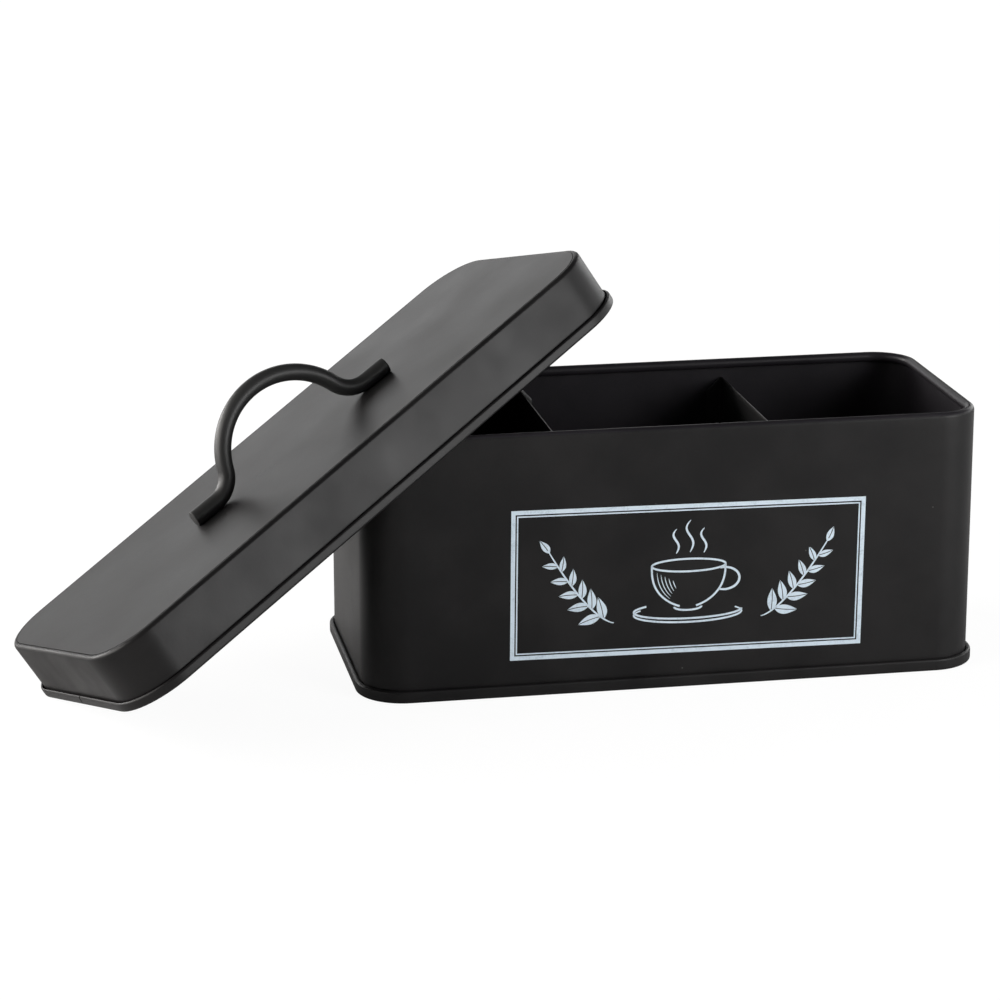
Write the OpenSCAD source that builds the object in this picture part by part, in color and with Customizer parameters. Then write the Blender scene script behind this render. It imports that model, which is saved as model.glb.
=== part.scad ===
// Lidded sheet metal box with three compartments for tea bags, its lid lifted off and leaning on it.
// The box stands on z = 0 with its middle on the origin. Its long side runs along x and its front faces -y.
// The lid lies on the left top edge of the box, stands on its own low corner and leans on the front wall.

/* [Box] */
// Outside length of the box, along x
box_length = 250; // [200:1:320]
// Outside depth of the box, front to back
box_depth = 110; // [90:1:150]
// Height of the box, from the table to the top of the rolled edge
box_height = 107; // [80:1:140]
// Outside radius of the upright corners
box_corner = 17.5; // [12:0.5:26]
// Thickness of the sheet steel, with its coat
sheet = 0.5; // [0.4:0.05:0.7]
// Width of the top edge, rolled inwards
rim_roll = 4; // [2.8:0.1:5]
// Height of the folded seam round the bottom
seam_height = 5; // [4.4:0.1:7]
// How far the seam stands out from the wall
seam_out = 2; // [1.8:0.1:2.6]
// Space between the folded layers of the seam
fold_gap = 0.1; // [0.05:0.01:0.15]
// Height of the floor panel's underside above the table
floor_rise = 3.6; // [3:0.1:6]

/* [Dividers] */
// Length of the middle compartment, between the dividers
middle_length = 88.1; // [70:0.1:100]
// How far the top of a divider lies below the rolled edge's top
divider_drop = 8.2; // [5:0.1:20]
// Width of the flanges that are welded to the walls
flange_width = 6.5; // [5:0.5:12]
// Size of the corner cut off the top of each flange
flange_cut = 5.5; // [2:0.5:6]
// Inside radius of the flange bend
flange_bend = 0.8; // [0.4:0.1:1.5]
// Space under a divider
divider_lift = 0.3; // [0.1:0.1:0.5]

/* [Lid] */
// Space at each end between the closed lid's skirt and the box
end_play = 3.75; // [3:0.05:5]
// Space at the front and at the back between the closed lid's skirt and the box
side_play = 5.1; // [4:0.05:6]
// Height of the lid without its handle
lid_height = 25; // [22:0.1:34]
// Height of the rolled hem round the lid's lower edge
hem_height = 4.2; // [3.6:0.1:6]
// How far the hem stands out from the skirt
hem_out = 1.6; // [1.4:0.1:2.4]
// Outside radius of the bend at the top of the skirt
skirt_bend = 1; // [0.8:0.1:2]
// Width of the shelf that carries the top panel
shelf_width = 6; // [4:0.5:9]
// How far the top panel's edge lies inside the skirt's outer face
panel_inset = 0.5; // [0.3:0.1:1.5]
// Gap between the two ends of the hem, at the joint in the skirt
joint_gap = 0.4; // [0.2:0.1:0.8]
// Space between two sheets that are spot welded together
weld_gap = 0.05; // [0.02:0.01:0.1]

/* [Handle] */
// Diameter of the handle's wire, with its coat
wire = 6.8; // [5:0.1:8]
// Height of the handle above the lid's top panel
handle_height = 33.3; // [28:0.1:40]
// Radius of the arch, along the middle of the wire
arch_radius = 30.4; // [26:0.1:34]
// Radius of the bend into each foot, along the middle of the wire
foot_bend = 12; // [8:0.5:14]
// Length of the straight part of each foot
foot_length = 11; // [8:0.5:20]
// Depth of the flat that is pressed on the underside of each foot
foot_flat = 0.2; // [0.1:0.05:0.4]
// Turn of the handle away from the lid's long middle line
handle_turn = -3.8; // [-6:0.1:6]
// Tilt of the arch towards the back of the lid
handle_tilt = 3.5; // [-10:0.5:10]
// Place of the handle's middle along the lid
handle_along = -1; // [-6:0.1:6]
// Place of the handle's middle across the lid
handle_across = -2.1; // [-6:0.1:6]

/* [Lid at rest] */
// Slope of the lid along the box
lean = 32.9; // [31:0.05:36]
// Turn of the lid in its own plane
turn = 21.9; // [18:0.1:23]
// Sideways slope of the lid, down towards the back
sideways = 1.7; // [1:0.1:3]
// Space left where the lid touches the box
rest_gap = 0.4; // [0.2:0.1:0.5]

/* [Hidden] */
$fn = 72;

coat = [0.1, 0.1, 0.105];
coat_inside = [0.07, 0.068, 0.072];
coat_wire = [0.06, 0.06, 0.062];

// Rolled top edge: a round tube of sheet inside the wall
rim_outer = rim_roll / 2;
rim_inner = rim_outer - sheet;
rim_mid = box_height - rim_outer;

// Bottom seam, measured outwards from the wall's outer face: the floor panel's edge goes down inside the
// wall, out below it, up outside it and back down between the wall and the wall's own hook
pan_wall = -(2 * sheet + fold_gap);
pan_turn = 2 * sheet;
pan_lap_mid = (seam_out + fold_gap) / 2;
pan_lap_inner = (seam_out - fold_gap) / 2 - sheet;
pan_lap_top = seam_height - pan_lap_inner - sheet;
floor_top = floor_rise + sheet;
hook_leg = pan_lap_mid - sheet / 2;
hook_inner = hook_leg / 2;
hook_mid = sheet + hook_inner + sheet + fold_gap;
lap_end = hook_mid + hook_inner + fold_gap;

// Room inside the box
inner_depth = box_depth - 2 * sheet;
divider_x = (middle_length + sheet) / 2;
divider_top = box_height - divider_drop;
divider_base = floor_top + divider_lift;

// Lid, drawn with the middle of its top panel's upper face on the origin
lid_length = box_length + 2 * (end_play + sheet);
lid_depth = box_depth + 2 * (side_play + sheet);
lid_corner = box_corner + end_play + sheet;
shelf_top = -(sheet + weld_gap);
bend_mid = shelf_top - skirt_bend;
hem_leg = hem_out - sheet;
hem_outer = hem_leg / 2 + sheet;
hem_mid = hem_outer - lid_height;
hem_lap = min(hem_out, hem_height - 2 * hem_outer) / 2 + sheet / 2;
hem_lap_top = hem_height - lid_height - hem_lap;

// Handle, in its own plane: the arch's middle, and the foot bends that touch the arch
wire_mid = wire / 2 - foot_flat;
arch_mid = handle_height - arch_radius - wire / 2;
bend_rise = wire_mid + foot_bend - arch_mid;
arch_start = asin(bend_rise / (arch_radius + foot_bend));
bend_x = (arch_radius + foot_bend) * cos(arch_start);
arch_steps = 14;
bend_steps = 8;
wire_sides = 28;

// The lid at rest. up is the direction out of its top panel. along_z and across_z say how much the lid's own
// two long directions rise, and across_x and across_y are the other parts of the second one
up = [-cos(sideways) * sin(lean), sin(sideways), cos(sideways) * cos(lean)];
along_z = cos(turn) * sin(lean) - sin(turn) * sin(sideways) * cos(lean);
across_z = -sin(turn) * sin(lean) - cos(turn) * sin(sideways) * cos(lean);
across_x = -sin(turn) * cos(lean) + cos(turn) * sin(sideways) * sin(lean);
across_y = cos(turn) * cos(sideways);
// How far the rolled edge of the box reaches along up, and so where the panel lies on it
rim_reach = reach(box_length, box_depth, box_corner, -rim_outer, [up.x, up.y])
    + up.z * rim_mid + rim_outer;
panel_reach = rim_reach + rest_gap + sheet;
// The low corner of the hem stands on the table
lid_z = reach(lid_length, lid_depth, lid_corner, hem_leg / 2, [along_z, across_z])
    + up.z * -hem_mid + hem_outer;
// The front of the skirt leans on the rolled edge of the front wall, where the hem crosses that edge
edge_y = rim_outer - box_depth / 2 - rim_outer * across_y / norm([across_y, across_z]);
edge_z = rim_mid - rim_outer * across_z / norm([across_y, across_z]);
cross_x = (panel_reach - lid_height - up.y * edge_y - up.z * edge_z) / up.x;
wall_across = across_x * cross_x + across_y * edge_y + across_z * edge_z;
skirt_across = lid_depth / 2 - sheet - rest_gap;
lid_y = (wall_across + skirt_across - across_z * lid_z - across_x * (panel_reach - up.z * lid_z) / up.x)
    / (across_y - across_x * up.y / up.x);
lid_x = (panel_reach - up.y * lid_y - up.z * lid_z) / up.x;

// Farthest reach of a rounded rectangle, its outline moved out by grow, along a direction in its plane
function reach(length, width, radius, grow, along) =
    abs(along.x) * (length / 2 - radius) + abs(along.y) * (width / 2 - radius)
    + (radius + grow) * norm(along);

// One straight stretch of sheet in a section
module flat(from, size)
    translate(from) square(size);

// One bend of the sheet in a section: whole quarter turns of a ring, counted from a first quarter
module bend(middle, inner, first, quarters)
    translate(middle)
        for (quarter = [first : first + quarters - 1])
            rotate(90 * quarter) difference() {
                intersection() {
                    circle(inner + sheet);
                    square(inner + sheet);
                }
                circle(inner);
            }

// Carries a section round a rounded rectangle: the section's x runs outwards from the outline, its y up
module around(length, width, radius)
    for (side = [0:3]) {
        run = side % 2 == 0 ? width - 2 * radius : length - 2 * radius;
        corner_x = (side == 0 || side == 3 ? 1 : -1) * (length / 2 - radius);
        corner_y = (side < 2 ? 1 : -1) * (width / 2 - radius);
        translate([corner_x, corner_y, 0]) rotate(90 * side) {
            rotate_extrude(angle = 90) translate([radius, 0]) children();
            rotate([90, 0, 0]) linear_extrude(run) translate([radius, 0]) children();
        }
    }

// The flat middle of a sheet whose border is made by around()
module middle(length, width, radius, low)
    translate([radius - length / 2, radius - width / 2, low])
        cube([length - 2 * radius, width - 2 * radius, sheet]);

// Wrapper of the box: hook at the bottom, wall, and top edge rolled inwards
module body_wall_section() {
    flat([hook_leg, hook_mid], [sheet, pan_lap_top - hook_mid]);
    bend([hook_inner, hook_mid], hook_inner, 2, 2);
    flat([-sheet, hook_mid], [sheet, rim_mid - hook_mid]);
    bend([-rim_outer, rim_mid], rim_inner, 0, 3);
    flat([-rim_outer, rim_mid - rim_outer], [rim_outer - sheet - fold_gap, sheet]);
}

module body_wall()
    color(coat) around(box_length, box_depth, box_corner) body_wall_section();

// Edge of the floor panel, folded round the wall's hook
module base_panel_section() {
    flat([-box_corner, floor_rise], [box_corner + pan_wall + sheet - pan_turn, sheet]);
    bend([pan_wall + sheet - pan_turn, floor_top - pan_turn], pan_turn - sheet, 0, 1);
    flat([pan_wall, pan_turn], [sheet, floor_top - 2 * pan_turn]);
    bend([pan_wall + pan_turn, pan_turn], pan_turn - sheet, 2, 1);
    flat([pan_wall + pan_turn, 0], [seam_out - pan_wall - 2 * pan_turn, sheet]);
    bend([seam_out - pan_turn, pan_turn], pan_turn - sheet, 3, 1);
    flat([seam_out - sheet, pan_turn], [sheet, pan_lap_top - pan_turn]);
    bend([pan_lap_mid, pan_lap_top], pan_lap_inner, 0, 2);
    flat([fold_gap, lap_end], [sheet, pan_lap_top - lap_end]);
}

module base_panel()
    color(coat_inside) {
        around(box_length, box_depth, box_corner) base_panel_section();
        middle(box_length, box_depth, box_corner, floor_rise);
    }

// Divider, seen from above: a web with a flange bent along each end
module divider_section() {
    turned = flange_bend + sheet;
    half = inner_depth / 2 - weld_gap;
    flat([-sheet / 2, turned - half], [sheet, 2 * (half - turned)]);
    bend([turned - sheet / 2, half - turned], flange_bend, 1, 1);
    bend([turned - sheet / 2, turned - half], flange_bend, 2, 1);
    flat([turned - sheet / 2, half - sheet], [flange_width - turned, sheet]);
    flat([turned - sheet / 2, -half], [flange_width - turned, sheet]);
}

module divider() {
    flange_end = flange_width - sheet / 2;
    cut_side = flange_cut * sqrt(2);
    difference() {
        translate([0, 0, divider_base]) linear_extrude(divider_top - divider_base) divider_section();
        translate([flange_end, 0, divider_top]) rotate([0, 45, 0])
            cube([cut_side, box_depth, cut_side], center = true);
    }
}

module divider_left()
    color(coat_inside) translate([-divider_x, 0, 0]) divider();

module divider_right()
    color(coat_inside) translate([divider_x, 0, 0]) rotate(180) divider();

// Skirt of the lid: shelf under the panel, bend, skirt, and hem rolled outwards
module lid_band_section() {
    flat([-shelf_width, shelf_top - sheet], [shelf_width - skirt_bend, sheet]);
    bend([-skirt_bend, bend_mid], skirt_bend - sheet, 0, 1);
    flat([-sheet, hem_mid], [sheet, bend_mid - hem_mid]);
    bend([hem_leg / 2, hem_mid], hem_leg / 2, 2, 2);
    flat([hem_leg, hem_mid], [sheet, hem_lap_top - hem_mid]);
    bend([hem_out - hem_lap, hem_lap_top], hem_lap - sheet, 0, 1);
}

// Where the skirt's two ends meet, in the middle of its low end, the hem has a gap
module hem_joint()
    translate([-lid_length / 2 - hem_out - 1, -joint_gap / 2, -lid_height - 1])
        cube([hem_out + 1, joint_gap, hem_height + 2]);

module lid_band()
    color(coat) leaning() difference() {
        around(lid_length, lid_depth, lid_corner) lid_band_section();
        hem_joint();
    }

module lid_panel()
    color(coat) leaning() {
        around(lid_length, lid_depth, lid_corner)
            flat([-lid_corner, -sheet], [lid_corner - panel_inset, sheet]);
        middle(lid_length, lid_depth, lid_corner, -sheet);
    }

// The middle of the handle's wire, half of it: place in the handle's plane, and the direction across the wire
half_path = concat(
    [for (step = [0 : arch_steps]) let (at = 90 - (90 - arch_start) * step / arch_steps)
        [[arch_radius * cos(at), arch_mid + arch_radius * sin(at)], [cos(at), sin(at)]]],
    [for (step = [1 : bend_steps]) let (at = 180 + arch_start + (90 - arch_start) * step / bend_steps)
        [[bend_x + foot_bend * cos(at), wire_mid + foot_bend + foot_bend * sin(at)], [-cos(at), -sin(at)]]],
    [[[bend_x + foot_length, wire_mid], [0, 1]]]);
half_count = len(half_path);
path = [for (step = [1 - half_count : half_count - 1]) let (here = half_path[abs(step)], way = sign(step + 0.5))
    [[way * here[0].x, here[0].y], [way * here[1].x, here[1].y]]];

// One point on the wire, tilted about the feet and pressed flat on the lid
function wire_point(here, at) =
    let (out = here[0] + here[1] * wire / 2 * cos(at), side = wire / 2 * sin(at), rise = out.y - wire_mid)
    [out.x, side * cos(handle_tilt) + rise * sin(handle_tilt),
        max(0, wire_mid + rise * cos(handle_tilt) - side * sin(handle_tilt))];

module handle()
    color(coat_wire) leaning() translate([handle_along, handle_across, 0]) rotate(handle_turn)
        polyhedron(
            points = [for (here = path) for (step = [0 : wire_sides - 1])
                wire_point(here, 360 * step / wire_sides)],
            faces = concat(
                [for (ring = [0 : len(path) - 2]) for (step = [0 : wire_sides - 1]) for (half = [0, 1])
                    let (this = ring * wire_sides, next = this + wire_sides, after = (step + 1) % wire_sides)
                    half == 0 ? [this + step, this + after, next + step]
                        : [this + after, next + after, next + step]],
                [[for (step = [wire_sides - 1 : -1 : 0]) step]],
                [[for (step = [0 : wire_sides - 1]) (len(path) - 1) * wire_sides + step]]));

// Sets the lid's pieces in their place at rest
module leaning()
    translate([lid_x, lid_y, lid_z]) rotate([0, -lean, 0]) rotate([-sideways, 0, 0]) rotate([0, 0, turn])
        children();

body_wall();
base_panel();
divider_left();
divider_right();
lid_band();
lid_panel();
handle();
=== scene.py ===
"""Looks of the lidded tea box: coated sheet steel, its pale print, and the studio round it.

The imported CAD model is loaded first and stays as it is. Each class below is one sub-assembly that stands
for its CAD nodes, on the same outline. Sizes are in metres, in the CAD model's own frame: x along the
box, y from the front to the back, z up.
"""

from __future__ import annotations

import logging
from dataclasses import dataclass, field
from enum import Enum
from typing import Any, Union

import bmesh
import bpy
import numpy as np
from mathutils import Matrix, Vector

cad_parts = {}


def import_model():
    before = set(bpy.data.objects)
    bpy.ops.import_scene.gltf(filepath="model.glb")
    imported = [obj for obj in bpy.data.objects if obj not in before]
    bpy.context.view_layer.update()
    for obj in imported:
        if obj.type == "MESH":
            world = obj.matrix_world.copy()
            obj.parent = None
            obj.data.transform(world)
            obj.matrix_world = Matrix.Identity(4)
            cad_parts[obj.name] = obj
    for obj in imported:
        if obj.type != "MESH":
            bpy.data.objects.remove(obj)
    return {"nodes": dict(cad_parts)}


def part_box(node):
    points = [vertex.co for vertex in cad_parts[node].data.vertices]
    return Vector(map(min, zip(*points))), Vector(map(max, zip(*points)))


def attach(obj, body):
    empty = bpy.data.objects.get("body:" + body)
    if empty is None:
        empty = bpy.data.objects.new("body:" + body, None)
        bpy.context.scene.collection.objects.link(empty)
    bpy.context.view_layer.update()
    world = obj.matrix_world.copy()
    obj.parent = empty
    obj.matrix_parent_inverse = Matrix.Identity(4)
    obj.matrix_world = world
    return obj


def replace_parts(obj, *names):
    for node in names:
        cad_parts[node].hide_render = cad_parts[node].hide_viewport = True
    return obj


Array = np.ndarray
Pair = tuple[float, float]
Triple = tuple[float, float, float]
Inputs = dict[Any, Any]
Number = Union[float, "Value"]
MM = 0.001
LOG = logging.getLogger("tea_box")


# Curves and sections


def ring(angle: Array) -> Array:
    """Points on a circle with a radius of one: (cos a, sin a)."""
    return np.stack([np.cos(angle), np.sin(angle)], axis=-1)


def arc(centre: Pair, radius: float, start: float, end: float, count: int = 9) -> Array:
    """Points on a circular arc between two angles in degrees: centre + radius * (cos a, sin a)."""
    return np.asarray(centre) + radius * ring(np.radians(np.linspace(start, end, count)))


def line(first: Pair, last: Pair, count: int = 2) -> Array:
    """Evenly spaced points from first to last: first + t * (last - first)."""
    return np.linspace(first, last, count)


def joined(*parts: Array) -> Array:
    """Puts stretches of a path end to end and leaves out points that repeat.

    Args:
        parts: the stretches, in order.

    Returns:
        The whole path as one array of points.
    """
    path = np.concatenate(parts)
    apart = np.linalg.norm(np.diff(path, axis=0), axis=-1) > 1e-7
    return path[np.concatenate([[True], apart])]


def unit(vectors: Array) -> Array:
    """Vectors scaled to a length of one."""
    return vectors / np.linalg.norm(vectors, axis=-1, keepdims=True)


def directions(path: Array) -> tuple[Array, Array]:
    """The unit vectors along a path, and those across it to its left."""
    along = unit(np.gradient(path, axis=0))
    return along, np.stack([-along[:, 1], along[:, 0]], axis=-1)


def folded_sheet(path: Array, thickness: float, steps: int = 4) -> Array:
    """Section of a bent sheet: the path moved half the thickness to each side, with half-round ends.

    Args:
        path: middle of the sheet, as points in a plane.
        thickness: thickness of the sheet.
        steps: points on each half-round end, less one.

    Returns:
        The section's closed outline.
    """
    along, across = directions(path)
    side = across * thickness / 2
    turn = np.radians(np.linspace(90, -90, steps + 1))[1:-1, None]
    far = path[-1] + np.sin(turn) * side[-1] + np.cos(turn) * along[-1] * thickness / 2
    near = path[0] - np.sin(turn) * side[0] - np.cos(turn) * along[0] * thickness / 2
    return np.concatenate([path + side, far, (path - side)[::-1], near])


@dataclass(frozen=True)
class RoundedOutline:
    """A rectangle with rounded corners, seen from above, that sections are carried round.

    It starts in the middle of its low x end and runs past the front, the high x end and the back.
    """

    length: float
    width: float
    radius: float
    corner_steps: int = 14
    step: float = 6 * MM

    def stations(self) -> tuple[Array, Array, Array]:
        """Places round the outline: the corners' middles with a straight run between each two.

        Returns:
            For each place the point that its radius is measured from, that point's way out along x and y,
            and the direction square to the outline.
        """
        middle = np.array([self.length / 2 - self.radius, self.width / 2 - self.radius])
        signs = np.array([[-1.0, -1.0], [1.0, -1.0], [1.0, 1.0], [-1.0, 1.0]])
        anchors, ways, normals = [], [], []
        for corner, sign in enumerate(signs):
            normal = ring(np.radians(180 + 90 * corner + np.linspace(0, 90, self.corner_steps + 1)))
            run = 2 * middle[corner % 2]
            count = 2 * max(2, round(run / self.step / 2))
            share = np.linspace(0, 1, count + 1)[1:-1, None]
            way = sign + share * (signs[(corner + 1) % 4] - sign)
            anchors += [np.tile(sign * middle, (len(normal), 1)), way * middle]
            ways += [np.tile(sign, (len(normal), 1)), way]
            normals += [normal, np.tile(normal[-1], (len(way), 1))]
        anchor, way, normal = (np.concatenate(part) for part in (anchors, ways, normals))
        start = int(np.argmin(anchor[:, 0] * 1000 + np.abs(anchor[:, 1])))
        return tuple(np.roll(part, -start, axis=0) for part in (anchor, way, normal))

    def carry(self, section: Array) -> Array:
        """Carries a section round: anchor + way * min(reach, 0) + normal * max(reach, 0).

        The reach is the corners' radius plus how far out a point lies.

        Args:
            section: points whose first number is how far out they lie and whose second is their height.

        Returns:
            A grid of points, stations by section points by 3.
        """
        anchor, way, normal = self.stations()
        reach = (self.radius + section[:, 0])[None, :, None]
        past_middle, before_middle = np.maximum(reach, 0), np.minimum(reach, 0)
        flat = anchor[:, None] + way[:, None] * before_middle + normal[:, None] * past_middle
        height = np.broadcast_to(section[:, 1], flat.shape[:2])
        return np.concatenate([flat, height[..., None]], axis=-1)

    def normals(self) -> Array:
        """The direction square to the outline at each station, as 3D vectors."""
        flat = self.stations()[2]
        return np.concatenate([flat, np.zeros((len(flat), 1))], axis=-1)


def swell(points: Array, seed: int, wavelength: float) -> Array:
    """Slow uneven waves of hand-worked sheet: the mean of six sines whose directions come from a seed.

    Args:
        points: where the waves are wanted, the last axis being x, y and z.
        seed: picks the directions and phases.
        wavelength: about how far apart the crests lie.

    Returns:
        A number between -1 and 1 for each point.
    """
    chance = np.random.default_rng(seed)
    ways = unit(chance.normal(size=(6, 3))) * 2 * np.pi / (wavelength * chance.uniform(0.6, 1.7, (6, 1)))
    return np.sin(points @ ways.T + chance.uniform(0, 2 * np.pi, 6)).mean(axis=-1)


# Meshes


def linked(name: str, data: Any) -> Any:
    """A new object in the scene."""
    thing = bpy.data.objects.new(name, data)
    bpy.context.scene.collection.objects.link(thing)
    return thing


def border(grid: Array) -> Array:
    """The points round the edge of a grid, in order."""
    return np.concatenate([grid[0], grid[1:, -1], grid[-1, -2::-1], grid[-2:0:-1, 0]])


def cells(index: Array) -> Array:
    """The quads between neighbours in a grid of point numbers, one quad to a row."""
    corners = [index[:-1, :-1], index[1:, :-1], index[1:, 1:], index[:-1, 1:]]
    return np.stack(corners, axis=-1).reshape(-1, 4)


class Shell:
    """Grid surfaces that make one closed mesh together."""

    def __init__(self) -> None:
        """Starts with no points."""
        self.points: list[Array] = []
        self.faces: list[Array] = []
        self.count = 0

    def numbers(self, *shape: int) -> Array:
        """The numbers of the points that are added next, in the shape of their grid."""
        index = self.count + np.arange(np.prod(shape)).reshape(shape)
        self.count += index.size
        return index

    def grid(self, points: Array, around: bool = False, across: bool = False) -> Shell:
        """Adds a grid of points and the quads between its neighbours.

        Args:
            points: rows by columns by 3.
            around: joins the last row to the first.
            across: joins the last column to the first.

        Returns:
            The shell itself.
        """
        index = self.numbers(*points.shape[:2])
        index = np.concatenate([index, index[:1]]) if around else index
        index = np.concatenate([index, index[:, :1]], axis=1) if across else index
        self.points.append(points.reshape(-1, 3))
        self.faces.append(cells(index))
        if across and not around:
            self.faces += [index[0, :-1][None, :], index[-1, :-1][::-1][None, :]]
        return self

    def plate(self, points: Array, way: Array, thickness: float) -> None:
        """Adds a sheet with two faces: a grid of points, the same grid moved along way, and its edges.

        Args:
            points: the upper face, rows by columns by 3.
            way: the direction in which the lower face lies.
            thickness: the distance between the faces.
        """
        lower = points + np.asarray(way) * thickness
        upper_index, lower_index = self.numbers(2, *points.shape[:2])
        edge, under = border(points), border(lower)
        nearer = self.numbers(2, len(edge))
        farther = np.roll(nearer, -1, axis=1)
        wall = np.stack([nearer[0], nearer[1], farther[1], farther[0]], axis=-1)
        self.points += [points.reshape(-1, 3), lower.reshape(-1, 3), edge, under]
        self.faces += [cells(upper_index), cells(lower_index)[:, ::-1], wall]

    def moved(self, pose: Matrix) -> Shell:
        """Sets all points in their place: rotation times point plus translation."""
        turn, shift = np.array(pose.to_3x3()), np.array(pose.translation)
        self.points = [part @ turn.T + shift for part in self.points]
        return self

    def piece(self, name: str, finish: Finish, body: str, weld: float = 1e-7, crease: float = 38) -> Any:
        """Makes the mesh, turns its faces outwards and lets it ride on a body.

        Args:
            name: name of the new object.
            finish: the finish that dresses it.
            body: the CAD body that it moves with.
            weld: points nearer to each other than this become one.
            crease: angle in degrees from which an edge stays sharp.

        Returns:
            The new object.
        """
        mesh = bpy.data.meshes.new(name)
        faces = [face for part in self.faces for face in part.tolist()]
        mesh.from_pydata(np.concatenate(self.points).tolist(), [], faces)
        work = bmesh.new()
        work.from_mesh(mesh)
        bmesh.ops.remove_doubles(work, verts=work.verts, dist=weld)
        bmesh.ops.dissolve_degenerate(work, edges=work.edges, dist=weld)
        bmesh.ops.recalc_face_normals(work, faces=work.faces)
        work.to_mesh(mesh)
        work.free()
        mesh.polygons.foreach_set("use_smooth", np.ones(len(mesh.polygons), dtype=bool))
        mesh.set_sharp_from_angle(angle=np.radians(crease))
        thing = linked(name, mesh)
        mesh.materials.append(finish.material())
        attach(thing, body)
        LOG.info("%s: %d faces on body %s", name, len(mesh.polygons), body)
        return thing


# Materials


class Value:
    """A number socket whose operators add Math nodes."""

    def __init__(self, nodes: Nodes, socket: Any) -> None:
        """Keeps the socket and the nodes that it belongs to."""
        self.nodes = nodes
        self.socket = socket

    def _math(self, operation: str, *values: Number) -> Value:
        """Adds one Math node and returns its result."""
        inputs = {index: value for index, value in enumerate(values)}
        return self.nodes.value("ShaderNodeMath", {"operation": operation}, inputs)

    def __add__(self, other: Number) -> Value:
        """self + other."""
        return self._math("ADD", self, other)

    def __radd__(self, other: Number) -> Value:
        """other + self."""
        return self._math("ADD", other, self)

    def __sub__(self, other: Number) -> Value:
        """self - other."""
        return self._math("SUBTRACT", self, other)

    def __rsub__(self, other: Number) -> Value:
        """other - self."""
        return self._math("SUBTRACT", other, self)

    def __mul__(self, other: Number) -> Value:
        """self * other."""
        return self._math("MULTIPLY", self, other)

    def __rmul__(self, other: Number) -> Value:
        """other * self."""
        return self._math("MULTIPLY", other, self)

    def past(self, limit: Number) -> Value:
        """How far the number's size goes past a limit: max(abs(self) - limit, 0)."""
        return self._math("MAXIMUM", self._math("ABSOLUTE", self) - limit, 0.0)

    def __lt__(self, other: Number) -> Value:
        """1 where self is less than other, else 0."""
        return self._math("LESS_THAN", self, other)

    def __gt__(self, other: Number) -> Value:
        """1 where self is more than other, else 0."""
        return self._math("GREATER_THAN", self, other)


class Nodes:
    """The node tree of one material or world, and the one way in which its nodes are added."""

    def __init__(self, tree: Any) -> None:
        """Empties the tree."""
        self.tree = tree
        tree.nodes.clear()

    def add(self, kind: str, settings: Inputs | None = None, inputs: Inputs | None = None) -> Any:
        """Adds a node, sets its settings, then gives its sockets their values or links.

        Args:
            kind: the node's type.
            settings: properties by name.
            inputs: sockets by name or number, each with a number, a colour, a Value or a socket.

        Returns:
            The node.
        """
        node = self.tree.nodes.new(kind)
        for name, setting in (settings or {}).items():
            setattr(node, name, setting)
        for name, given in (inputs or {}).items():
            source = given.socket if isinstance(given, Value) else given
            if isinstance(source, bpy.types.NodeSocket):
                self.tree.links.new(source, node.inputs[name])
            else:
                node.inputs[name].default_value = source
        return node

    def value(self, kind: str, settings: Inputs | None, inputs: Inputs, output: Any = 0) -> Value:
        """Adds a node and wraps one of its outputs."""
        return Value(self, self.add(kind, settings, inputs).outputs[output])

    def noise(self, where: Any, scale: float, detail: float = 2, rough: float = 0.5) -> Value:
        """Cloudy noise, with scale cells to a metre."""
        inputs = {"Vector": where, "Scale": scale, "Detail": detail, "Roughness": rough}
        return self.value("ShaderNodeTexNoise", None, inputs, "Fac")

    def blend(self, factor: Value, first: Any, second: Any) -> Any:
        """A colour between two others.

        Args:
            factor: 0 for the first colour, 1 for the second.
            first: three numbers, or a colour socket.
            second: three numbers, or a colour socket.

        Returns:
            The colour's socket.
        """
        pair = [(*colour, 1) if isinstance(colour, tuple) else colour for colour in (first, second)]
        inputs = {0: factor, 6: pair[0], 7: pair[1]}
        return self.add("ShaderNodeMix", {"data_type": "RGBA"}, inputs).outputs[2]

    def bump(self, height: Value, distance: float, under: Any = None) -> Any:
        """A normal bent by a height.

        Args:
            height: the height, as a share of the distance.
            distance: the height of 1, in metres.
            under: another bent normal that this one is laid on, if any.

        Returns:
            The normal's socket.
        """
        inputs = {"Strength": 1.0, "Distance": distance, "Height": height}
        if under:
            inputs["Normal"] = under
        return self.add("ShaderNodeBump", None, inputs).outputs[0]


@dataclass(frozen=True)
class Finish:
    """What every finish has: a name, and the record's material slot that it belongs to."""

    name: str
    slot: str

    def material(self) -> Any:
        """The finish's material, made when it is first asked for."""
        known = bpy.data.materials.get(self.name)
        if known:
            return known
        material = bpy.data.materials.new(self.name)
        material.use_nodes = True
        self.paint(Nodes(material.node_tree))
        return material

    def paint(self, nodes: Nodes) -> None:
        """Adds the nodes. Each kind of finish has its own."""
        raise NotImplementedError


# Tones of the inner faces, about twice as light as the outside coat: painted light that stands in for the
# light falling into the box.
LIT_INSIDE_DARK = (0.0140, 0.0126, 0.0152)
LIT_INSIDE_LIGHT = (0.0225, 0.0205, 0.0240)


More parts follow.
